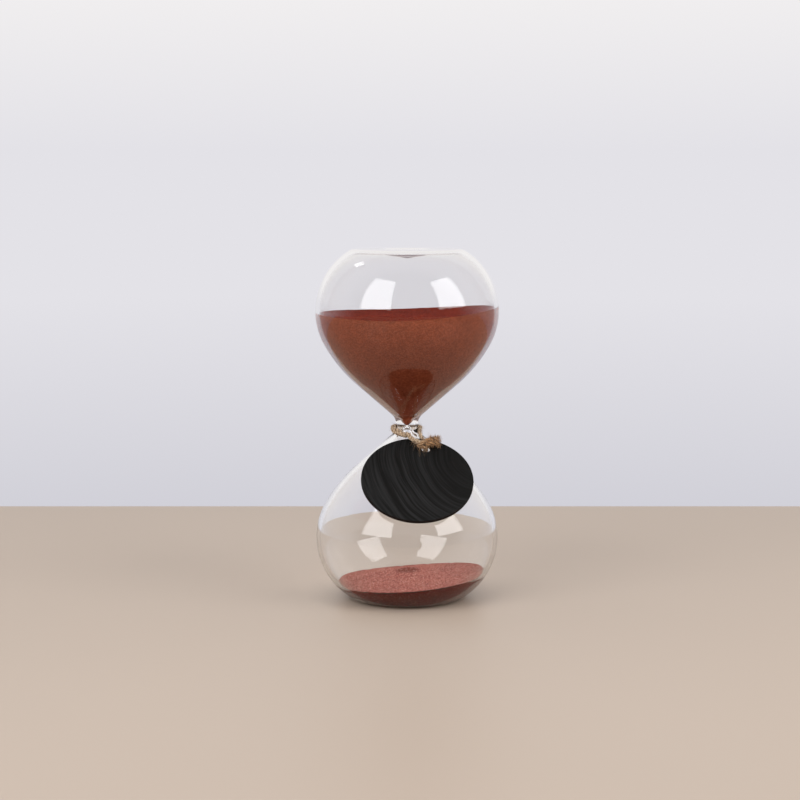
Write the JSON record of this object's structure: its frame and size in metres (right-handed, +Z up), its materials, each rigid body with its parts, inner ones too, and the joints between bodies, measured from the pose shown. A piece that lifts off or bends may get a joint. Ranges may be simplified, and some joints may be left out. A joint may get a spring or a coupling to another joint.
{
  "type": "hourglass",
  "caption": "Free-standing two-bulb glass hourglass with coloured sand and an oval wooden tag tied to its neck with twine.",
  "frame": {"origin": "centre of the flat end that the hourglass stands on", "axes": "+Z up along the glass axis, -Y towards the viewer in front of the tag, +X to the viewer's right"},
  "size_m": [0.086, 0.0885, 0.1651],
  "materials": {
    "glass": "clear, smooth, blown",
    "seal_glass": "clear, melted",
    "sand": "fine copper-red grains, slightly sparkling",
    "twine": "natural jute, twisted, fibrous",
    "tag_wood": "black stain over visible grain, matt"
  },
  "bodies": {
    "glass": {"lower_bulb": "glass", "upper_bulb": "glass", "fill_seal": "seal_glass", "lower_sand": "sand", "upper_sand": "sand"},
    "loop": {"neck_loop": "twine"},
    "strands": {"tag_strands": "twine", "twine_knot": "twine", "twine_ends": "twine"},
    "hanging_tag": {"tag": "tag_wood"}
  },
  "joints": [
    {"name": "loop_turn", "type": "hinge", "parent": "glass", "child": "loop", "pos_m": [0, 0, 0.08123], "axis": [0, 0, 1], "continuous": true},
    {"name": "tag_lift", "type": "hinge", "parent": "loop", "child": "strands", "pos_m": [0, 0, 0.08123], "axis": [-0.9962, -0.0872, 0], "range_deg": [0, 40]},
    {"name": "tag_sway", "type": "hinge", "parent": "strands", "child": "hanging_tag", "pos_m": [0.00862, -0.01704, 0.07356], "axis": [0.0627, -0.7166, 0.6947], "range_deg": [-6, 25]}
  ]
}
